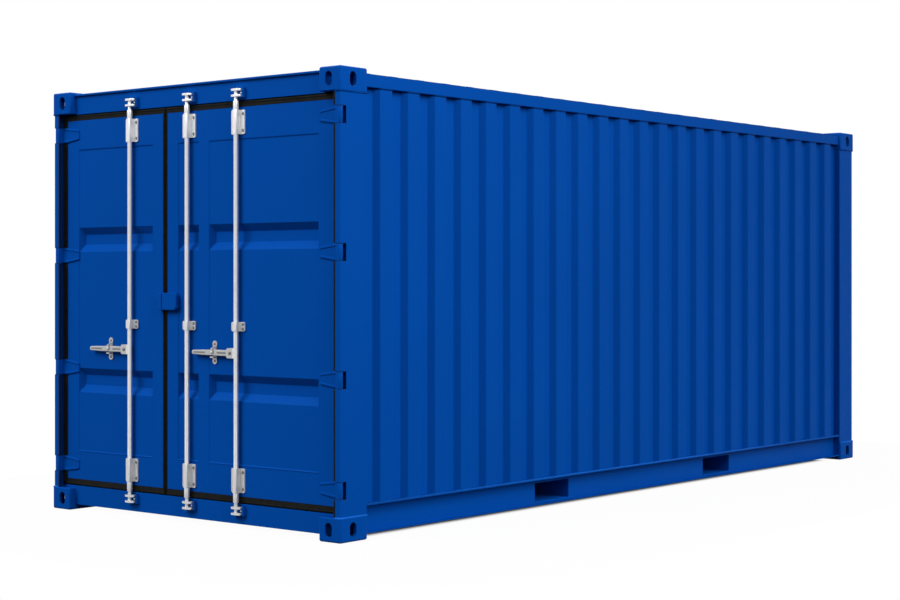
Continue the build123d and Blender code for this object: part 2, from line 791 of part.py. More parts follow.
def handle_retainer(rod_place):
    """An upright plate on the leaf, round at both ends, with a shelf that the handle lies over."""
    place = rod_place - retainer_place
    with BuildPart() as retainer:
        with BuildSketch(Plane.YZ.offset(behind(panel_front - retainer_thickness))):
            with Locations((across(place), handle_height)):
                Rectangle(retainer_waist, retainer_height - retainer_width)
                with GridLocations(1, retainer_height - retainer_width, 1, 2):
                    Circle(retainer_width / 2)
        extrude(amount=retainer_thickness)
        shelf_top = handle_height - max(half for reach, half in handle_outline) - shelf_gap
        block((place - shelf_half_width, place + shelf_half_width),
              (shelf_front, panel_front - retainer_thickness), (shelf_top - shelf_thickness, shelf_top))
    return retainer


for rod_name, side in (("left", "left"), ("right", "right")):
    save(handle(rod_places[rod_name]), f"{side}_handle")
    save(handle_retainer(rod_places[rod_name]), f"{side}_handle_retainer")


# Box-shaped plate over the seam, split so that either leaf opens by itself

with BuildPart() as left_seam_plate:
    block((seam_plate_left, seam_plate_gap_left), (seam_plate_front, leaf_front), (seam_plate_low, seam_plate_high))
save(left_seam_plate, "left_seam_plate")

with BuildPart() as right_seam_plate:
    block((seam_plate_gap_right, seam_plate_right), (seam_plate_front, leaf_front), (seam_plate_low, seam_plate_high))
    chamfer(right_seam_plate.edges().filter_by(Axis.X).group_by(Axis.Y)[0], length=seam_plate_corner)
    chamfer(right_seam_plate.faces().sort_by(Axis.X)[0].edges().sort_by(Axis.Y)[:3], length=seam_plate_chamfer)
save(right_seam_plate, "right_seam_plate")
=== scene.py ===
import math

import bmesh
import bpy
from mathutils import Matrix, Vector


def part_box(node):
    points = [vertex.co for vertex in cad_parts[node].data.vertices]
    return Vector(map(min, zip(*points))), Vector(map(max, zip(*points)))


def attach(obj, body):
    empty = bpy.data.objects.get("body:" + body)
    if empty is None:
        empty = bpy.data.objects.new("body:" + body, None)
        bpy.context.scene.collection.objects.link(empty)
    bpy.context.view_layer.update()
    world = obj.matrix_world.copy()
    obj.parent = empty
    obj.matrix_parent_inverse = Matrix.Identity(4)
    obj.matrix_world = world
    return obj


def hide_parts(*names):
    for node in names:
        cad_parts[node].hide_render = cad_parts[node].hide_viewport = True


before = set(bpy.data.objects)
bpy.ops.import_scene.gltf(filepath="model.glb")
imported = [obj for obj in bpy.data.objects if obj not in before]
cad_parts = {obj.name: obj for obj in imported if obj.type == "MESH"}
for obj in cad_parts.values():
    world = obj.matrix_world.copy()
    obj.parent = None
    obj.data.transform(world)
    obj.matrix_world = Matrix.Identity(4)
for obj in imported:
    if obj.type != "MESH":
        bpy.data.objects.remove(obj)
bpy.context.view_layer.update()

# A freight container in metres. +X runs from the doors to the closed end, and +Y is the doors' left side.
MM = 0.001
HALF_LENGTH = 3.029
HALF_WIDTH = 1.219
ROOT = "container"

OUTWARDS = Vector((-1, 0, 0))
ALONG = Vector((1, 0, 0))
ACROSS = Vector((0, 1, 0))
UP = Vector((0, 0, 1))

# Places and sizes that the solids have, in millimetres. A place across is counted from the doors' left side,
# a depth from the doors' end and a height from the ground.
ROD_PLACES = {"left": 691, "middle": 1195, "right": 1604}
ROD_DOORS = {"left": "left_door", "middle": "right_door", "right": "right_door"}
ROD_RADIUS = 16
BRACKET_FRONT = 47
BRACKET_HEIGHTS = (281.5, 2328.5)
GUIDE_HEIGHT = 1160.5
HANDLE_HEIGHT = 1008
HANDLE_PIVOT = 38
RETAINER_PLACE = 197
RETAINER_FRONT = 49
HINGE_HEIGHTS = (283, 883, 1579, 2327)
CAM_HEIGHTS = (110, 2495)
CASTING_LENGTH = 222
CASTING_WIDTH = 162
POST_FOOT = 134
POST_HEAD = 2457
POST_INSET = 8
DOOR_POST_LIP = 47
REAR_POST_WIDTH = 78
BEAM_FACE = 50
RAIL_INSET = 18
HEADER_TOP = 2571
SILL_BOTTOM = 32

# Forms of the fixings as (radius, rise) pairs, in parts of their size
WASHER = ((0, 0), (1.45, 0), (1.45, 0.22), (0, 0.22))
BOLT_HEAD = ((0, 0.2), (1.1, 0.2), (1.1, 0.85), (0.85, 1.05), (0, 1.05))
DOME_RIM = 0.12
DOME_RISE = 0.5

# A bead's ring at a corner is stretched by at most the inverse of this
MITRE_LIMIT = 0.4

# Edges are rounded where they bend by more than this, in degrees
PIECE_BEND = 35
SOLID_BEND = 40


# Mesh helpers

def door_point(from_left, depth, level):
    """A point at the door end, from millimetres across, inwards and up."""
    return Vector((depth * MM - HALF_LENGTH, HALF_WIDTH - from_left * MM, level * MM))


def make_piece(name, mesh_data, material, body, bevel=0.0):
    """A mesh object that rides on a body, with a slight bevel where it is asked for."""
    bmesh.ops.recalc_face_normals(mesh_data, faces=mesh_data.faces)
    mesh = bpy.data.meshes.new(name)
    mesh_data.to_mesh(mesh)
    mesh_data.free()
    mesh.materials.append(material)
    piece = bpy.data.objects.new(name, mesh)
    bpy.context.scene.collection.objects.link(piece)
    if bevel:
        rounded(piece, bevel, PIECE_BEND)
        piece.modifiers.new("normals", "WEIGHTED_NORMAL").keep_sharp = True
        for polygon in mesh.polygons:
            polygon.use_smooth = True
    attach(piece, body)
    return piece


def rounded(target, width, angle):
    """Rounds the edges that bend by more than an angle in degrees."""
    edges = target.modifiers.new("edges", "BEVEL")
    edges.width = width
    edges.segments = 2
    edges.limit_method = "ANGLE"
    edges.angle_limit = math.radians(angle)


def turned(mesh_data, centre, axis, profile, sides):
    """A turned form round an axis, from (radius, height) pairs along it."""
    axis = Vector(axis).normalized()
    side = axis.orthogonal().normalized()
    other = axis.cross(side)
    rings = []
    for radius, rise in profile:
        if radius == 0:
            rings.append([mesh_data.verts.new(centre + axis * rise)])
            continue
        ring = []
        for step in range(sides):
            angle = 2 * math.pi * step / sides
            ring.append(mesh_data.verts.new(
                centre + axis * rise + side * radius * math.cos(angle) + other * radius * math.sin(angle)))
        rings.append(ring)
    for low, high in zip(rings, rings[1:]):
        for step in range(sides):
            after = (step + 1) % sides
            corners = [low[step % len(low)], low[after % len(low)],
                       high[after % len(high)], high[step % len(high)]]
            unique = list(dict.fromkeys(corners))
            if len(unique) > 2:
                mesh_data.faces.new(unique)


def bolt(mesh_data, centre, axis, size):
    """A washer with a bevelled hexagon head on it; size is half the head's width."""
    for form, sides in ((WASHER, 20), (BOLT_HEAD, 6)):
        turned(mesh_data, centre, axis, [(radius * size, rise * size) for radius, rise in form], sides)


def dome(mesh_data, centre, axis, size):
    """A round rivet head; size is its radius."""
    profile = [(0, 0), (size, 0), (size, DOME_RIM * size)]
    for step in (1, 2, 3):
        angle = math.radians(90 * step / 4)
        profile.append((size * math.cos(angle), (DOME_RIM + DOME_RISE * math.sin(angle)) * size))
    profile.append((0, (DOME_RIM + DOME_RISE) * size))
    turned(mesh_data, centre, axis, profile, 16)


def bead(mesh_data, path, normal, radius, sides=8, closed=False):
    """A round bead along a path in a plane with this normal, mitred at its corners up to a limit."""
    normal = Vector(normal).normalized()
    count = len(path)
    rings = []
    for index, point in enumerate(path):
        before = path[index - 1] if index > 0 or closed else None
        after = path[(index + 1) % count] if index < count - 1 or closed else None
        arriving = (point - before).normalized() if before is not None else (after - point).normalized()
        leaving = (after - point).normalized() if after is not None else arriving
        along = (arriving + leaving).normalized()
        sideways = along.cross(normal).normalized()
        stretch = 1 / max(MITRE_LIMIT, along.dot(leaving))
        ring = []
        for step in range(sides):
            angle = 2 * math.pi * step / sides
            ring.append(mesh_data.verts.new(
                point + sideways * stretch * radius * math.cos(angle) + normal * radius * math.sin(angle)))
        rings.append(ring)
    pairs = list(zip(rings, rings[1:]))
    if closed:
        pairs.append((rings[-1], rings[0]))
    else:
        mesh_data.faces.new(rings[0])
        mesh_data.faces.new(rings[-1])
    for low, high in pairs:
        for step in range(sides):
            after = (step + 1) % sides
            mesh_data.faces.new((low[step], low[after], high[after], high[step]))


def prism(mesh_data, outline, lift):
    """A solid from a flat outline of points, lifted by a vector."""
    low = [mesh_data.verts.new(point) for point in outline]
    high = [mesh_data.verts.new(point + lift) for point in outline]
    mesh_data.faces.new(low)
    mesh_data.faces.new(high)
    for index in range(len(outline)):
        after = (index + 1) % len(outline)
        mesh_data.faces.new((low[index], low[after], high[after], high[index]))


def box_between(mesh_data, low, high):
    """An upright box between two opposite corners."""
    corners = [Vector((low[0], low[1], low[2])), Vector((high[0], low[1], low[2])),
               Vector((high[0], high[1], low[2])), Vector((low[0], high[1], low[2]))]
    prism(mesh_data, corners, Vector((0, 0, high[2] - low[2])))


def door_box(mesh_data, from_left, depth, levels):
    """A box at the door end, between two places from the left, two depths and two levels."""
    box_between(mesh_data, door_point(from_left[1], depth[0], levels[0]),
                door_point(from_left[0], depth[1], levels[1]))


def mirrored(mesh_data, axis):
    """Adds the same forms on the other side of the container: axis 0 is its length, 1 its width."""
    everything = mesh_data.verts[:] + mesh_data.edges[:] + mesh_data.faces[:]
    for item in bmesh.ops.duplicate(mesh_data, geom=everything)["geom"]:
        if isinstance(item, bmesh.types.BMVert):
            item.co[axis] = -item.co[axis]


# Materials

class Nodes:
    """Short calls for a material's node tree, read in the piece's own coordinates."""

    def __init__(self, name):
        self.material = bpy.data.materials.new(name)
        self.material.use_nodes = True
        self.tree = self.material.node_tree
        self.shader = self.tree.nodes["Principled BSDF"]
        self.place = self.add("ShaderNodeTexCoord").outputs["Object"]

    def add(self, kind, **values):
        node = self.tree.nodes.new(kind)
        for key, value in values.items():
            setattr(node, key, value)
        return node

    def link(self, source, target):
        self.tree.links.new(source, target)

    def noise(self, scale, detail, stretch=(1, 1, 1)):
        """Soft noise from 0 to 1, finer with more scale and shorter along an axis with more stretch."""
        mapping = self.add("ShaderNodeMapping")
        mapping.inputs["Scale"].default_value = stretch
        self.link(self.place, mapping.inputs["Vector"])
        texture = self.add("ShaderNodeTexNoise")
        texture.inputs["Scale"].default_value = scale
        texture.inputs["Detail"].default_value = detail
        self.link(mapping.outputs["Vector"], texture.inputs["Vector"])
        return texture.outputs["Fac"]

    def ranged(self, source, low, high, from_low=0.3, from_high=0.7):
        """Spreads the middle part of a source over a new range."""
        node = self.add("ShaderNodeMapRange")
        node.inputs["From Min"].default_value = from_low
        node.inputs["From Max"].default_value = from_high
        node.inputs["To Min"].default_value = low
        node.inputs["To Max"].default_value = high
        self.link(source, node.inputs["Value"])
        return node.outputs["Result"]

    def blend(self, factor, first, second):
        """A mix of two colours, each a plain colour or a socket."""
        node = self.add("ShaderNodeMix", data_type="RGBA")
        self.link(factor, node.inputs["Factor"])
        for socket, value in ((node.inputs[6], first), (node.inputs[7], second)):
            if isinstance(value, tuple):
                socket.default_value = (*value, 1)
            else:
                self.link(value, socket)
        return node.outputs[2]

    def times(self, first, second):
        """One colour darkened by another."""
        node = self.add("ShaderNodeMix", data_type="RGBA", blend_type="MULTIPLY")
        node.inputs["Factor"].default_value = 1
        self.link(first, node.inputs[6])
        self.link(second, node.inputs[7])
        return node.outputs[2]

    def bump(self, layers):
        """Bump from (height, strength, distance) layers, laid over each other."""
        last = None
        for height, strength, distance in layers:
            node = self.add("ShaderNodeBump")
            node.inputs["Strength"].default_value = strength
            node.inputs["Distance"].default_value = distance
            self.link(height, node.inputs["Height"])
            if last is not None:
                self.link(last, node.inputs["Normal"])
            last = node.outputs["Normal"]
        self.link(last, self.shader.inputs["Normal"])

    def settle(self, colour, roughness, metallic=0.0, specular=0.5):
        """The finished material."""
        self.link(colour, self.shader.inputs["Base Color"])
        self.link(roughness, self.shader.inputs["Roughness"])
        self.shader.inputs["Metallic"].default_value = metallic
        self.shader.inputs["Specular IOR Level"].default_value = specular
        return self.material


def scaled(colour, factor):
    """A colour made darker or lighter."""
    return tuple(channel * factor for channel in colour)


def paint(name, colour, waviness):
    """Semi-gloss paint on steel: slight drift in colour, fine orange peel and the sheet's own waviness."""
    nodes = Nodes(name)
    drift = nodes.ranged(nodes.noise(0.9, detail=2), 0, 1)
    fine = nodes.ranged(nodes.noise(38, detail=4), 0, 1)
    base = nodes.blend(drift, scaled(colour, 0.94), scaled(colour, 1.05))
    tint = nodes.blend(fine, scaled(colour, 0.97), base)
    roughness = nodes.ranged(nodes.noise(6, detail=4), *PAINT_ROUGHNESS)
    nodes.bump([(nodes.noise(3.1, detail=1), waviness, 0.004), (nodes.noise(420, detail=2), 0.08, 0.0006)])
    return nodes.settle(tint, roughness, specular=PAINT_SPECULAR)


def galvanised(name, colour, roughness, hub_start=None):
    """Zinc-coated steel with spangles, faint streaks and uneven gloss, and painted shade that makes it darker
    lower down.

    Where a hub starts, on the doors' left side of a rod, the zinc is that of a forging.
    """
    nodes = Nodes(name)
    spangle = nodes.add("ShaderNodeTexVoronoi")
    spangle.inputs["Scale"].default_value = 85
    nodes.link(nodes.place, spangle.inputs["Vector"])
    streaks = nodes.ranged(nodes.noise(9, detail=4, stretch=(1, 1, 0.15)), 0, 1)
    base = nodes.blend(spangle.outputs["Distance"], scaled(colour, 1.05), scaled(colour, 0.86))
    tint = nodes.blend(streaks, base, scaled(colour, 0.95))
    split = nodes.add("ShaderNodeSeparateXYZ")
    nodes.link(nodes.place, split.inputs["Vector"])
    if hub_start is not None:
        past = nodes.ranged(split.outputs["Y"], 0, 1, hub_start, hub_start + MM)
        tint = nodes.blend(past, tint, FORGED_ZINC)
    # Painted shade: the zinc gets darker lower down
    height = nodes.ranged(split.outputs["Z"], 0, 1, *SHADE_HEIGHTS)
    tint = nodes.times(tint, nodes.blend(height, (FOOT_SHADE,) * 3, (1.0, 1.0, 1.0)))
    gloss = nodes.ranged(nodes.noise(24, detail=4), *roughness)
    nodes.bump([(nodes.noise(150, detail=3), 0.12, 0.0006)])
    return nodes.settle(tint, gloss, metallic=0.5)


def rubber(name):
    """Black door rubber with a trace of dust and a fine grain."""
    nodes = Nodes(name)
    dust = nodes.ranged(nodes.noise(30, detail=4), 0, 1)
    tint = nodes.blend(dust, RUBBER_BLACK, DUSTY_BLACK)
    roughness = nodes.ranged(nodes.noise(60, detail=3), 0.55, 0.75)
    nodes.bump([(nodes.noise(500, detail=2), 0.2, 0.0005)])
    return nodes.settle(tint, roughness, specular=0.05)


def plywood(name):
    """Container floor plywood: long grain, darker knots and a worn varnish."""
    nodes = Nodes(name)
    grain = nodes.noise(26, detail=8, stretch=(0.12, 2.2, 1))
    broad = nodes.ranged(nodes.noise(2.2, detail=3), 0, 1)
    light = nodes.blend(nodes.ranged(grain, 0, 1), DARK_GRAIN, LIGHT_GRAIN)
    tint = nodes.blend(broad, light, WORN_WOOD)
    roughness = nodes.ranged(grain, 0.45, 0.7)
    nodes.bump([(grain, 0.15, 0.001)])
    return nodes.settle(tint, roughness, specular=0.35)


# Colours, and the range of roughness from the glossiest to the dullest spot
BLUE = (0.0004, 0.064, 0.350)
# A lighter blue: painted highlight on the welds and fillets at the foot of the walls
PAINTED_HIGHLIGHT_BLUE = (0.008, 0.120, 0.540)
RECESS_SHADE = 0.35
SHEET_WAVINESS = 0.10
FRAME_WAVINESS = 0.04
PAINT_ROUGHNESS = (0.36, 0.48)
PAINT_SPECULAR = 0.014
ZINC = (0.80, 0.805, 0.815)
FORGED_ZINC = (0.52, 0.525, 0.53)
# Dark steel for the bolts and rivets, also used as painted shade for the handle bars' grooves
DARK_STEEL_AND_SHADE = (0.20, 0.20, 0.195)
ZINC_ROUGHNESS = (0.30, 0.44)
FORGED_ROUGHNESS = (0.28, 0.42)
SHADE_HEIGHTS = (0.3, 2.4)
FOOT_SHADE = 0.80
RUBBER_BLACK = (0.005, 0.005, 0.0045)
DUSTY_BLACK = (0.010, 0.010, 0.009)
DARK_GRAIN = (0.23, 0.115, 0.05)
LIGHT_GRAIN = (0.42, 0.25, 0.125)
WORN_WOOD = (0.30, 0.16, 0.075)

sheet_paint = paint("sheet_paint", BLUE, SHEET_WAVINESS)
frame_paint = paint("frame_paint", BLUE, FRAME_WAVINESS)
painted_highlight_paint = paint("painted_highlight_paint", PAINTED_HIGHLIGHT_BLUE, FRAME_WAVINESS)
# A darker blue that is painted shade, for the door posts' recesses and the line under the top rails
painted_shade_paint = paint("painted_recess_shade", scaled(BLUE, RECESS_SHADE), FRAME_WAVINESS)
zinc = galvanised("zinc_coated_steel", ZINC, ZINC_ROUGHNESS)
rod_zinc = {}
for side in ("left", "right"):
    tube_side = HALF_WIDTH - (ROD_PLACES[side] - ROD_RADIUS) * MM
    rod_zinc[side + "_lock_rod"] = galvanised(side + "_rod_zinc", ZINC, ZINC_ROUGHNESS, hub_start=tube_side)
forged_zinc = galvanised("forged_zinc_coated_steel", FORGED_ZINC, FORGED_ROUGHNESS)
dark_steel_and_shade = galvanised("dark_steel_and_shade", DARK_STEEL_AND_SHADE, ZINC_ROUGHNESS)
seal = rubber("door_seal_rubber")
boards = plywood("floor_plywood")

SHEETS = ("side_wall_left", "side_wall_right", "rear_wall", "roof_panel", "left_door_leaf", "right_door_leaf")
JOIN_WITHIN = 0.00002

# How much each solid's edges are rounded
BEVELS = {
    "corner_castings_bottom": 0.004, "corner_castings_top": 0.004,
    "door_post_left": 0.002, "door_post_right": 0.002, "rear_post_left": 0.004, "rear_post_right": 0.004,
    "door_header": 0.0016, "door_sill": 0.0016, "cam_keepers": 0.002,
    "top_side_rail_left": 0.004, "top_side_rail_right": 0.004, "rear_header": 0.004, "rear_sill": 0.003,
    "bottom_side_rail_left": 0.002, "bottom_side_rail_right": 0.002,
    "left_door_leaf": 0.0012, "right_door_leaf": 0.0012,
    "left_door_hinges": 0.003, "right_door_hinges": 0.003,
    "left_rod_brackets": 0.0014, "right_rod_brackets": 0.0014,
    "left_rod_cams": 0.002, "middle_rod_cams": 0.002, "right_rod_cams": 0.002,
    "left_lock_rod": 0.0015, "middle_lock_rod": 0.0015, "right_lock_rod": 0.0015,
    "left_handle": 0.003, "right_handle": 0.003,
    "left_handle_retainer": 0.0015, "right_handle_retainer": 0.0015,
    "left_seam_plate": 0.003, "right_seam_plate": 0.003,
    "left_door_gasket": 0.002, "right_door_gasket": 0.002,
}


def finish_for(node):
    """The material of a solid, from its name."""
    if "gasket" in node:
        return seal
    if node == "floor":
        return boards
    if "handle" in node:
        return forged_zinc
    if node in rod_zinc:
        return rod_zinc[node]
    if "rod" in node:
        return zinc
    return sheet_paint if node in SHEETS else frame_paint


for node_name, node_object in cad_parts.items():
    for material_slot in node_object.material_slots:
        material_slot.material = finish_for(node_name)
    if node_name in BEVELS:
        node_object.modifiers.new("joined", "WELD").merge_threshold = JOIN_WITHIN
        rounded(node_object, BEVELS[node_name], SOLID_BEND)


# Bolts on the rod brackets and guides, rivets on the retainers, and the bolt through each handle hub

BOLT_ASIDE = 38
BOLT_SIZE = 6.5
LONG_BRACKET_BOLTS = (-48, 48)
GUIDE_BOLTS = (-13, 13)
RETAINER_RIVETS = (-50, 50)
RIVET_SIZE = 8
HUB_FRONT = 14
HUB_BOLT_SIZE = 7
BOLT_ROWS = [(height, LONG_BRACKET_BOLTS) for height in BRACKET_HEIGHTS] + [(GUIDE_HEIGHT, GUIDE_BOLTS)]

for door in ("left_door", "right_door"):
    fixings = bmesh.new()
    for rod, place in ROD_PLACES.items():
        if ROD_DOORS[rod] != door:
            continue
        for level, offsets in BOLT_ROWS:
            for offset in offsets:
                for aside in (-BOLT_ASIDE, BOLT_ASIDE):
                    centre = door_point(place + aside, BRACKET_FRONT, level + offset)
                    bolt(fixings, centre, OUTWARDS, BOLT_SIZE * MM)
        if rod != "middle":
            for offset in RETAINER_RIVETS:
                centre = door_point(place - RETAINER_PLACE, RETAINER_FRONT, HANDLE_HEIGHT + offset)
                dome(fixings, centre, OUTWARDS, RIVET_SIZE * MM)
    make_piece(door + "_bolts", fixings, dark_steel_and_shade, door)

for side in ("left", "right"):
    pivot_bolt = bmesh.new()
    centre = door_point(ROD_PLACES[side] - HANDLE_PIVOT, HUB_FRONT, HANDLE_HEIGHT)
    bolt(pivot_bolt, centre, OUTWARDS, HUB_BOLT_SIZE * MM)
    make_piece(side + "_hub_bolt", pivot_bolt, dark_steel_and_shade, side + "_rod")


# Catch that folds over each handle bar by its retainer, and dark strips along the bar: painted shade for its
# grooves

BAR_FRONT = 21
CATCH_PLACE = (-1, 16)
CATCH_FRONT = 14
CATCH_ARM = ((14, 16), (14, 23), (42, 37), (42, 30))
FLAP_LEVELS = (-4, 20)
FLAP_BACK = 20.5
BOSS_SIZE = 9.5
BOSS_SUNK = 0.5
BOSS_RISE = 2
# Each groove from one (distance from the rod, half height) to another
GROOVES = (((78, 5), (150, 5)), ((250, 5), (345, 3.5)))
GROOVE_BACK = BAR_FRONT + 0.2
GROOVE_RISE = 0.8

for side in ("left", "right"):
    bar = side + "_handle_bar"
    place = ROD_PLACES[side]
    catch_form = bmesh.new()
    catch = tuple(place - RETAINER_PLACE + offset for offset in CATCH_PLACE)
    prism(catch_form, [door_point(catch[1], depth, HANDLE_HEIGHT + level) for depth, level in CATCH_ARM],
          ACROSS * (catch[1] - catch[0]) * MM)
    door_box(catch_form, catch, (CATCH_FRONT, FLAP_BACK), [HANDLE_HEIGHT + level for level in FLAP_LEVELS])
    groove_shade = bmesh.new()
    for near, far in GROOVES:
        corners = [(near[0], -near[1]), (near[0], near[1]), (far[0], far[1]), (far[0], -far[1])]
        outline = [door_point(place - reach, GROOVE_BACK, HANDLE_HEIGHT + rise) for reach, rise in corners]
        prism(groove_shade, outline, OUTWARDS * GROOVE_RISE * MM)
    # Dark strips standing proud of the bar: painted shade for its grooves
    make_piece(side + "_handle_groove_shade", groove_shade, dark_steel_and_shade, bar)
    make_piece(side + "_handle_catch", catch_form, forged_zinc, bar, bevel=0.0012)
    boss = bmesh.new()
    centre = door_point(sum(catch) / 2, CATCH_FRONT + BOSS_SUNK, HANDLE_HEIGHT + BOSS_RISE)
    dome(boss, centre, OUTWARDS, BOSS_SIZE * MM)
    make_piece(side + "_catch_boss", boss, forged_zinc, bar)


# On the door posts, open at the hinges: a rubber fin beside the lip, and behind it a dark blue strip that is
# painted shade for the recess behind the lip

FIN_PLACE = (DOOR_POST_LIP, 56.5)
FIN_DEPTH = (5.5, 12.5)
FIN_SHORTER = 6
STRIP_PLACE = (36, 38.5)
STRIP_DEPTH = (17, 50)
HINGE_ROOM = 51
fins = bmesh.new()
strips = bmesh.new()
stops = [POST_FOOT + FIN_SHORTER]
for hinge_height in HINGE_HEIGHTS:
    stops += [hinge_height - HINGE_ROOM, hinge_height + HINGE_ROOM]
stops.append(POST_HEAD - FIN_SHORTER)
for low_stop, high_stop in zip(stops[::2], stops[1::2]):
    door_box(fins, FIN_PLACE, FIN_DEPTH, (low_stop, high_stop))
    door_box(strips, STRIP_PLACE, STRIP_DEPTH, (low_stop, high_stop))
for name, form, look in (("post_fins", fins, seal), ("painted_shade_strips", strips, painted_shade_paint)):
    mirrored(form, 1)
    make_piece(name, form, look, ROOT, bevel=0.0008)


# Bearing pads above and below each hinge knuckle, in the post's notches

BEARING_PLACE = (9, 46)
BEARING_DEPTH = (9, 52)
BEARING_RISE = (46.2, 48.8)
bearings = bmesh.new()
for hinge_height in HINGE_HEIGHTS:
    for facing_up in (-1, 1):
        levels = sorted(hinge_height + facing_up * rise for rise in BEARING_RISE)
        door_box(bearings, BEARING_PLACE, BEARING_DEPTH, levels)
mirrored(bearings, 1)
make_piece("hinge_bearing_pads", bearings, seal, ROOT, bevel=0.0003)


# A raised lip round each gasket

GASKET_FRONT = 53
GASKET_LEVELS = (153, 2448)
GASKET_PLACES = {"left_door": (42, 978), "right_door": (984, 2396)}
LIP_INSET = 8
LIP_SIZE = 4
for door, places in GASKET_PLACES.items():
    lip = bmesh.new()
    left, right = places[0] + LIP_INSET, places[1] - LIP_INSET
    bottom, top = GASKET_LEVELS[0] + LIP_INSET, GASKET_LEVELS[1] - LIP_INSET
    bead(lip, [door_point(left, GASKET_FRONT, bottom), door_point(right, GASKET_FRONT, bottom),
               door_point(right, GASKET_FRONT, top), door_point(left, GASKET_FRONT, top)],
         ALONG, LIP_SIZE * MM, sides=10, closed=True)
    make_piece(door + "_gasket_lip", lip, seal, door)


# Painted fillet welds along the lower and upper edge of each door panel

PANEL_FIELDS = {"left_door": ((191, 870),), "right_door": ((1094, 1270), (1357, 2227))}
PANEL_LEVELS = (366, 2235)
PANEL_DEPTH = 54
FILLET_FRONT = 49
FILLET_HEIGHT = 7
for door, fields in PANEL_FIELDS.items():
    fillets = bmesh.new()
    for field in fields:
        for level, towards_middle in zip(PANEL_LEVELS, (1, -1)):
            corners = [door_point(field[1], FILLET_FRONT, level), door_point(field[1], PANEL_DEPTH, level),
                       door_point(field[1], PANEL_DEPTH, level + towards_middle * FILLET_HEIGHT)]
            prism(fillets, corners, ACROSS * (field[1] - field[0]) * MM)
    make_piece(door + "_panel_welds", fillets, sheet_paint, door)


# Zinc faces on the keepers' tongues

PAD_PLACE = (28, 38)
PAD_DEPTH = (34, 36.3)
PAD_HALF_HEIGHT = 5
pads = bmesh.new()
for place in ROD_PLACES.values():
    for cam_height in CAM_HEIGHTS:
        door_box(pads, (place + PAD_PLACE[0], place + PAD_PLACE[1]), PAD_DEPTH,
                 (cam_height - PAD_HALF_HEIGHT, cam_height + PAD_HALF_HEIGHT))
make_piece("keeper_pads", pads, zinc, ROOT, bevel=0.0012)


# Weld beads, where the posts, rails, beams and sheets meet

def corrugation(half_span, count, face, slope, gap, depth):
    """Points along a corrugated sheet: distance along it, and in from the ribs' faces."""
    pitch = face + 2 * slope + gap
    first = -((count - 1) * pitch + face) / 2
    points = [(-half_span, depth)]
    for rib in range(count):
        begin = first + rib * pitch
        points += [(begin - slope, depth), (begin, 0), (begin + face, 0), (begin + face + slope, depth)]
    points.append((half_span, depth))
    return points


BETWEEN_ENDS = HALF_LENGTH / MM - CASTING_LENGTH
REAR_FACE = HALF_LENGTH / MM
SIDE_FACE = HALF_WIDTH / MM
BETWEEN_CASTINGS = SIDE_FACE - CASTING_WIDTH
TOP_RAIL = {"outer": SIDE_FACE - RAIL_INSET, "inner": SIDE_FACE - 78, "low": 2492, "high": 2563}
BOTTOM_RAIL = {"outer": SIDE_FACE - 10, "web": SIDE_FACE - 60, "low": 37, "inside_high": 184, "high": 190}
SIDE_RIBS = corrugation(BETWEEN_ENDS, count=23, face=100, slope=30, gap=79, depth=36)
REAR_RIBS = corrugation(SIDE_FACE - REAR_POST_WIDTH, count=9, face=100, slope=30, gap=88, depth=40)
WALL_INSET = 20
POST_WELD = 6.5
FRAME_WELD = 3
SHEET_WELD = 2.5
RAIL_FILLET = (14, 9)
ROOF_SHEET_TOP = 2565
ROOF_HALF_WIDTH = 1196
ROOF_BAYS = 24
ROOF_RIB_PITCH = 2 * BETWEEN_ENDS / ROOF_BAYS
ROOF_SEAMS = (-8, -4, 0, 4, 8)


def at(x, y, z):
    """A point from millimetres along, across and up."""
    return Vector((x * MM, y * MM, z * MM))


def wall_line(level):
    """Points along the outside of the left side wall, at a level."""
    return [at(along, SIDE_FACE - WALL_INSET - inwards, level) for along, inwards in SIDE_RIBS]


welds = bmesh.new()
foot_welds = bmesh.new()

# Both rails and the wall, where they end at the castings and posts
rail = TOP_RAIL
rail_end = [(rail["outer"], rail["low"]), (rail["outer"], rail["high"]), (rail["inner"], rail["high"])]
bead(welds, [at(BETWEEN_ENDS, across, level) for across, level in rail_end], ALONG, FRAME_WELD * MM)
rail = BOTTOM_RAIL
rail_end = [(rail["outer"], rail["inside_high"]), (rail["web"], rail["inside_high"]),
            (rail["web"], rail["low"]), (rail["outer"], rail["low"])]
bead(welds, [at(BETWEEN_ENDS, across, level) for across, level in rail_end], ALONG, FRAME_WELD * MM)
wall_end = SIDE_FACE - WALL_INSET - SIDE_RIBS[0][1]
bead(welds, [at(BETWEEN_ENDS, wall_end, level) for level in (BOTTOM_RAIL["high"], TOP_RAIL["low"])],
     ALONG, FRAME_WELD * MM)
mirrored(welds, 0)

# Posts on the castings
rear_corner = [(BETWEEN_ENDS, SIDE_FACE - POST_INSET), (REAR_FACE - POST_INSET, SIDE_FACE - POST_INSET),
               (REAR_FACE - POST_INSET, SIDE_FACE - REAR_POST_WIDTH)]
door_corner = [(DOOR_POST_LIP, POST_INSET), (POST_INSET, POST_INSET), (POST_INSET, CASTING_LENGTH)]
for form, level in ((foot_welds, POST_FOOT), (welds, POST_HEAD)):
    bead(form, [door_point(from_left, depth, level) for from_left, depth in door_corner], UP, POST_WELD * MM)
    bead(form, [at(along, across, level) for along, across in rear_corner], UP, POST_WELD * MM)

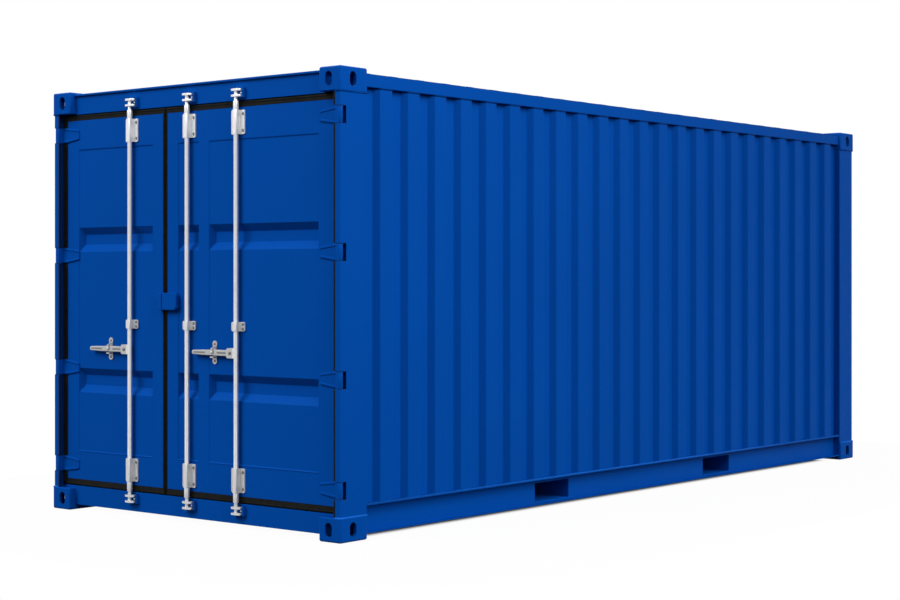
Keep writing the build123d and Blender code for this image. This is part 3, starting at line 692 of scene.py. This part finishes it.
# Header, sill and their like at the rear, beside the castings
header_side = [(BEAM_FACE, POST_HEAD), (BEAM_FACE, HEADER_TOP), (CASTING_LENGTH, HEADER_TOP)]
sill_side = [(BEAM_FACE, SILL_BOTTOM), (BEAM_FACE, POST_FOOT)]
for beam_side in (header_side, sill_side):
    bead(welds, [door_point(CASTING_WIDTH, depth, level) for depth, level in beam_side],
         ACROSS, FRAME_WELD * MM)
for levels in ((POST_HEAD, TOP_RAIL["high"]), (SILL_BOTTOM, POST_FOOT)):
    bead(welds, [at(REAR_FACE - RAIL_INSET, BETWEEN_CASTINGS, level) for level in levels],
         ACROSS, FRAME_WELD * MM)

# Rear wall beside its post, side wall on the bottom rail, and the fillet along that rail
rear_end = REAR_FACE - WALL_INSET - REAR_RIBS[0][1]
bead(welds, [at(rear_end, SIDE_FACE - REAR_POST_WIDTH, level) for level in (POST_FOOT, POST_HEAD)],
     ACROSS, FRAME_WELD * MM)
bead(welds, wall_line(BOTTOM_RAIL["high"]), UP, SHEET_WELD * MM, sides=6)
fillet_form = [(0, 0), (RAIL_FILLET[0], 0), RAIL_FILLET]
prism(foot_welds, [at(-BETWEEN_ENDS, BOTTOM_RAIL["outer"] - inwards, BOTTOM_RAIL["high"] + rise)
                   for inwards, rise in fillet_form], ALONG * 2 * BETWEEN_ENDS * MM)
mirrored(welds, 1)
mirrored(foot_welds, 1)

# Rear wall at its foot and head, and the seams of the roof
for level in (POST_FOOT, POST_HEAD):
    bead(welds, [at(REAR_FACE - WALL_INSET - inwards, along, level) for along, inwards in REAR_RIBS],
         UP, SHEET_WELD * MM, sides=6)
for seam in ROOF_SEAMS:
    seam_ends = [at(seam * ROOF_RIB_PITCH, side * ROOF_HALF_WIDTH, ROOF_SHEET_TOP) for side in (-1, 1)]
    bead(welds, seam_ends, UP, FRAME_WELD * MM)

# The foot welds get the lighter blue, a painted highlight where these ledges catch light from above
for name, form, look in (("weld_beads", welds, frame_paint), ("foot_welds", foot_welds, painted_highlight_paint)):
    weld_piece = make_piece(name, form, look, ROOT)
    for polygon in weld_piece.data.polygons:
        polygon.use_smooth = len(polygon.vertices) == 4


# A dark blue bead just under the top rails along the side walls: painted shadow of the rails on the wall

SHADOW_BEAD_DROP = 3
SHADOW_BEAD_SIZE = 4
rail_shadow_bead = bmesh.new()
bead(rail_shadow_bead, wall_line(TOP_RAIL["low"] - SHADOW_BEAD_DROP), UP, SHADOW_BEAD_SIZE * MM, sides=6)
mirrored(rail_shadow_bead, 1)
make_piece("top_rail_painted_shadow", rail_shadow_bead, painted_shade_paint, ROOT)


# Floor panels, screwed down, in place of the plain floor

PANEL_ROWS = 5
PANEL_GAP = 0.002
MEMBER_COUNT = 17
SCREW_COLUMNS = 10
SCREW_SPACING = 0.225
SCREW_OFFSET = 0.02
SCREW_HEAD = ((0.0055, 0), (0.0055, 0.0004), (0.002, 0.0002), (0, -0.0008))
floor_low, floor_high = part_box("floor")
rear_span = (BETWEEN_ENDS * MM, floor_high.x)
panels = bmesh.new()
panel_length = (rear_span[0] - floor_low.x) / PANEL_ROWS
for row in range(PANEL_ROWS):
    for half in (-1, 1):
        start = floor_low.x + row * panel_length
        edges = sorted((half * PANEL_GAP / 2, half * floor_high.y))
        box_between(panels, (start + PANEL_GAP / 2, edges[0], floor_low.z),
                    (start + panel_length - PANEL_GAP / 2, edges[1], floor_high.z))
for half in (-1, 1):
    edges = sorted((half * PANEL_GAP / 2, half * (SIDE_FACE - REAR_POST_WIDTH) * MM))
    box_between(panels, (rear_span[0] + PANEL_GAP / 2, edges[0], floor_low.z),
                (rear_span[1], edges[1], floor_high.z))
floor_panels = make_piece("floor_panels", panels, boards, ROOT, bevel=0.0012)
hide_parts("floor")

screws = bmesh.new()
member_pitch = 2 * BETWEEN_ENDS * MM / (MEMBER_COUNT + 1)
for number in range(MEMBER_COUNT):
    along = (number + 1) * member_pitch - BETWEEN_ENDS * MM + SCREW_OFFSET
    for column in range(SCREW_COLUMNS):
        aside = (column - (SCREW_COLUMNS - 1) / 2) * SCREW_SPACING
        turned(screws, Vector((along, aside, floor_high.z)), UP, SCREW_HEAD, 10)
make_piece("floor_screws", screws, zinc, ROOT)


# Background and ground

AMBIENT = 0.28
GROUND_REACH = 60
GROUND_DROP = 0.0005
GROUND_SEEN = 0.56
GROUND_LIT = 0.04
# The pale ground starts this far inside the container's ends and sides, rises over this width to this
# share of white, and is fully white this far away
PALE_INSIDE_ENDS = 0.3
PALE_INSIDE_SIDES = 0.06
PALE_EDGE = 0.1
PALE_NEAR = 0.97
PALE_REACH = 1.8


def arithmetic(tree, operation, first, second=0.0):
    """One step of arithmetic on numbers or sockets."""
    node = tree.nodes.new("ShaderNodeMath")
    node.operation = operation
    for socket, value in zip(node.inputs, (first, second)):
        if isinstance(value, float):
            socket.default_value = value
        else:
            tree.links.new(value, socket)
    return node.outputs[0]


def mixed(tree, factor, first, second):
    """Two shaders mixed by a factor."""
    node = tree.nodes.new("ShaderNodeMixShader")
    for socket, value in zip(node.inputs, (factor, first, second)):
        tree.links.new(value, socket)
    return node.outputs[0]


def light_paths(tree):
    """1 where the camera looks straight at it, or by gloss or glass."""
    path = tree.nodes.new("ShaderNodeLightPath").outputs
    seen = arithmetic(tree, "MAXIMUM", path["Is Camera Ray"], path["Is Glossy Ray"])
    return arithmetic(tree, "MAXIMUM", seen, path["Is Transmission Ray"])


def matte(tree, level):
    """A matte grey."""
    node = tree.nodes.new("ShaderNodeBsdfDiffuse")
    node.inputs["Color"].default_value = (level, level, level, 1)
    return node.outputs[0]


world = bpy.data.worlds.new("studio")
bpy.context.scene.world = world
world.use_nodes = True
sky = world.node_tree
ambient_light = sky.nodes["Background"]
white = sky.nodes.new("ShaderNodeBackground")
for background, strength in ((ambient_light, AMBIENT), (white, 1)):
    background.inputs["Color"].default_value = (1, 1, 1, 1)
    background.inputs["Strength"].default_value = strength
seen = mixed(sky, light_paths(sky), ambient_light.outputs[0], white.outputs[0])
sky.links.new(seen, sky.nodes["World Output"].inputs["Surface"])

ground_data = bmesh.new()
bmesh.ops.create_grid(ground_data, x_segments=1, y_segments=1, size=GROUND_REACH)
ground_mesh = bpy.data.meshes.new("ground")
ground_data.to_mesh(ground_mesh)
ground_data.free()
ground = bpy.data.objects.new("ground", ground_mesh)
bpy.context.scene.collection.objects.link(ground)
ground.location.z = -GROUND_DROP
ground_material = bpy.data.materials.new("ground")
ground_material.use_nodes = True
ground_tree = ground_material.node_tree
ground_tree.nodes.clear()
where = ground_tree.nodes.new("ShaderNodeTexCoord")
split = ground_tree.nodes.new("ShaderNodeSeparateXYZ")
ground_tree.links.new(where.outputs["Object"], split.inputs["Vector"])


def ground_step(source, start_at, end_at, reach):
    """Rises smoothly from 0 to reach between two distances."""
    node = ground_tree.nodes.new("ShaderNodeMapRange")
    node.interpolation_type = "SMOOTHSTEP"
    node.inputs["From Min"].default_value = start_at
    node.inputs["From Max"].default_value = end_at
    node.inputs["To Max"].default_value = reach
    ground_tree.links.new(source, node.inputs["Value"])
    return node.outputs["Result"]


def distance_past(axis, half_size):
    """How far the ground is past the middle part of the container along an axis."""
    away_from_middle = arithmetic(ground_tree, "ABSOLUTE", split.outputs[axis])
    return arithmetic(ground_tree, "SUBTRACT", away_from_middle, half_size)


def squared_past(distance):
    """The square of a distance, or 0 where it is below 0."""
    return arithmetic(ground_tree, "POWER", arithmetic(ground_tree, "MAXIMUM", distance), 2.0)


# The ground is plainly matte under the container and pale round it
past_ends = distance_past("X", HALF_LENGTH - PALE_INSIDE_ENDS)
past_sides = distance_past("Y", HALF_WIDTH - PALE_INSIDE_SIDES)
outside = arithmetic(ground_tree, "MAXIMUM", past_ends, past_sides)
away_squared = arithmetic(ground_tree, "ADD", squared_past(past_ends), squared_past(past_sides))
away = arithmetic(ground_tree, "SQRT", away_squared)
pale = arithmetic(ground_tree, "MAXIMUM", ground_step(outside, -PALE_EDGE, 0.0, PALE_NEAR),
                  ground_step(away, 0.0, PALE_REACH, 1.0))
seen_directly = light_paths(ground_tree)
glow = ground_tree.nodes.new("ShaderNodeEmission")
glow.inputs["Strength"].default_value = 1
shown = mixed(ground_tree, seen_directly, matte(ground_tree, GROUND_LIT), matte(ground_tree, GROUND_SEEN))
pale_where_seen = arithmetic(ground_tree, "MULTIPLY", pale, seen_directly)
finished = mixed(ground_tree, pale_where_seen, shown, glow.outputs[0])
ground_out = ground_tree.nodes.new("ShaderNodeOutputMaterial")
ground_tree.links.new(finished, ground_out.inputs["Surface"])
ground_mesh.materials.append(ground_material)


# Lamps

def sun(name, towards, level, spread):
    """A soft sun from a direction; level is what it adds to a surface that faces it."""
    data = bpy.data.lights.new(name, "SUN")
    data.energy = level * math.pi
    data.angle = math.radians(spread)
    lamp = bpy.data.objects.new(name, data)
    lamp.rotation_euler = Vector(towards).to_track_quat("Z", "Y").to_euler()
    bpy.context.scene.collection.objects.link(lamp)


def soft_box(name, place, aim, size, watts):
    """A broad flat lamp that faces a point; its light weakens with distance."""
    data = bpy.data.lights.new(name, "AREA")
    data.shape = "RECTANGLE"
    data.size, data.size_y = size
    data.energy = watts
    lamp = bpy.data.objects.new(name, data)
    lamp.location = place
    lamp.rotation_euler = (Vector(place) - Vector(aim)).to_track_quat("Z", "Y").to_euler()
    bpy.context.scene.collection.objects.link(lamp)


sun("side_light", (0.14, -0.78, 0.50), 0.70, 60)
sun("door_light", (-0.68, 0.33, 0.65), 0.72, 40)
sun("back_light", (0.62, 0.62, 0.40), 0.45, 70)
soft_box("side_box", (-3.4, -5.0, 4.8), (-2.2, -1.2, 1.8), (4, 2), 106)
soft_box("door_box", (-6.2, 1.2, 4.6), (-3.0, 0, 2.0), (3, 2), 44)


# Camera

PHOTO_WIDTH = 900
FOCAL_PIXELS = 1804
SENSOR_WIDTH = 36
SHIFT_UP = -0.024
FAR_END = 300
CAMERA_PLACE = (-10.217, -7.827, 1.436)
VIEW_DIRECTION = (0.776, 0.631)
camera_data = bpy.data.cameras.new("camera")
camera_data.sensor_width = SENSOR_WIDTH
camera_data.lens = FOCAL_PIXELS / PHOTO_WIDTH * SENSOR_WIDTH
camera_data.shift_y = SHIFT_UP
camera_data.clip_end = FAR_END
camera = bpy.data.objects.new("camera", camera_data)
camera.location = CAMERA_PLACE
camera.rotation_euler = (math.pi / 2, 0, -math.atan2(*VIEW_DIRECTION))
bpy.context.scene.collection.objects.link(camera)
bpy.context.scene.camera = camera
bpy.context.scene.view_settings.view_transform = "Standard"
